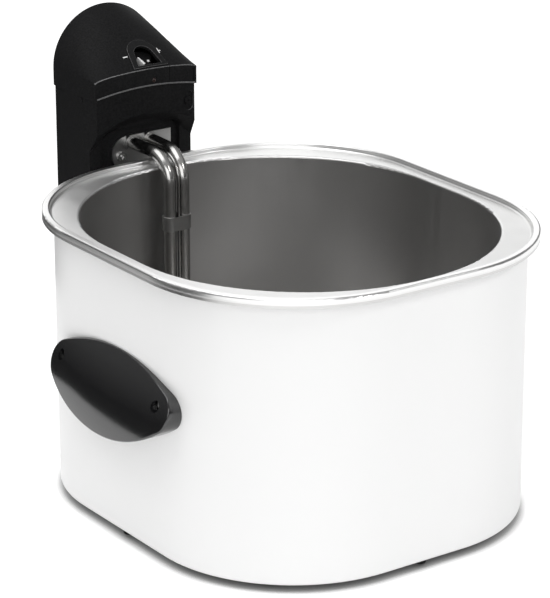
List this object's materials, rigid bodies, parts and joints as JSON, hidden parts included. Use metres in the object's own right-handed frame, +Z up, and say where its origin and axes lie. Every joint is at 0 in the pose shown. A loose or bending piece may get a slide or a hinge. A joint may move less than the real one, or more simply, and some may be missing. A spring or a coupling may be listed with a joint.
{
  "type": "deep fryer",
  "caption": "Electric deep fryer: white oval housing, lift-out steel pot with a beaded rim, black oval side grips, and a lift-off control head with dial and looped heating element",
  "frame": {"origin": "on the table under the middle of the bounding box", "axes": "+Y from the front of the rim to the control head, +Z up, +X to the right seen from the front"},
  "size_m": [0.29, 0.3698, 0.2806],
  "materials": {
    "white_enamel": "gloss",
    "zinc_sheet": "satin",
    "foot_rubber": "matte",
    "screw_steel": "polished",
    "grip_plastic": "gloss",
    "pot_steel": "polished",
    "case_plastic": "satin",
    "bezel_plastic": "satin",
    "lamp_lens": "gloss",
    "inner_plastic": "matte",
    "element_steel": "satin",
    "dial_plastic": "satin",
    "mark_plastic": "gloss",
    "button_plastic": "gloss"
  },
  "bodies": {
    "housing": {"outer_housing": "white_enamel", "base_pan": "zinc_sheet", "rubber_feet": "foot_rubber", "base_screws": "screw_steel", "head_bracket": "zinc_sheet", "bracket_rivets": "screw_steel", "left_handle": "grip_plastic", "right_handle": "grip_plastic", "handle_screws": "screw_steel", "handle_nuts": "screw_steel"},
    "oil_pot": {"oil_pot": "pot_steel"},
    "control_head": {"lower_case": "case_plastic", "top_cap": "case_plastic", "dial_bezel": "bezel_plastic", "rear_cover": "case_plastic", "cover_screws": "screw_steel", "case_screw": "case_plastic", "cap_clips": "case_plastic", "pilot_lamp": "lamp_lens", "thermostat": "zinc_sheet", "thermostat_bracket": "zinc_sheet", "thermal_cutout": "inner_plastic", "safety_switch": "inner_plastic", "terminal_block": "inner_plastic", "cord_gland": "case_plastic", "heating_element": "element_steel", "element_terminals": "screw_steel", "element_flange": "zinc_sheet", "flange_collars": "zinc_sheet", "flange_screws": "screw_steel", "leg_clamp": "zinc_sheet", "capillary_tube": "element_steel", "sensor_bulb": "element_steel", "bulb_clips": "zinc_sheet", "loop_support": "zinc_sheet"},
    "temperature_dial": {"temperature_dial": "dial_plastic", "dial_pointer": "mark_plastic"},
    "reset_button": {"reset_button": "button_plastic"}
  },
  "joints": [
    {"name": "pot_lift", "type": "slide", "parent": "housing", "child": "oil_pot", "axis": [0, 0, 1], "range_m": [0, 0.18]},
    {"name": "head_lift", "type": "slide", "parent": "oil_pot", "child": "control_head", "axis": [0, 0, 1], "range_m": [0, 0.18]},
    {"name": "dial_turn", "type": "hinge", "parent": "control_head", "child": "temperature_dial", "pos_m": [0.003, 0.13163, 0.24829], "axis": [0, 0.5736, -0.8192], "range_deg": [-12, 58]},
    {"name": "reset_press", "type": "slide", "parent": "control_head", "child": "reset_button", "axis": [0, -1, 0], "range_m": [0, 0.0025], "stiffness_N_per_m": 400, "springref_m": -0.001}
  ]
}
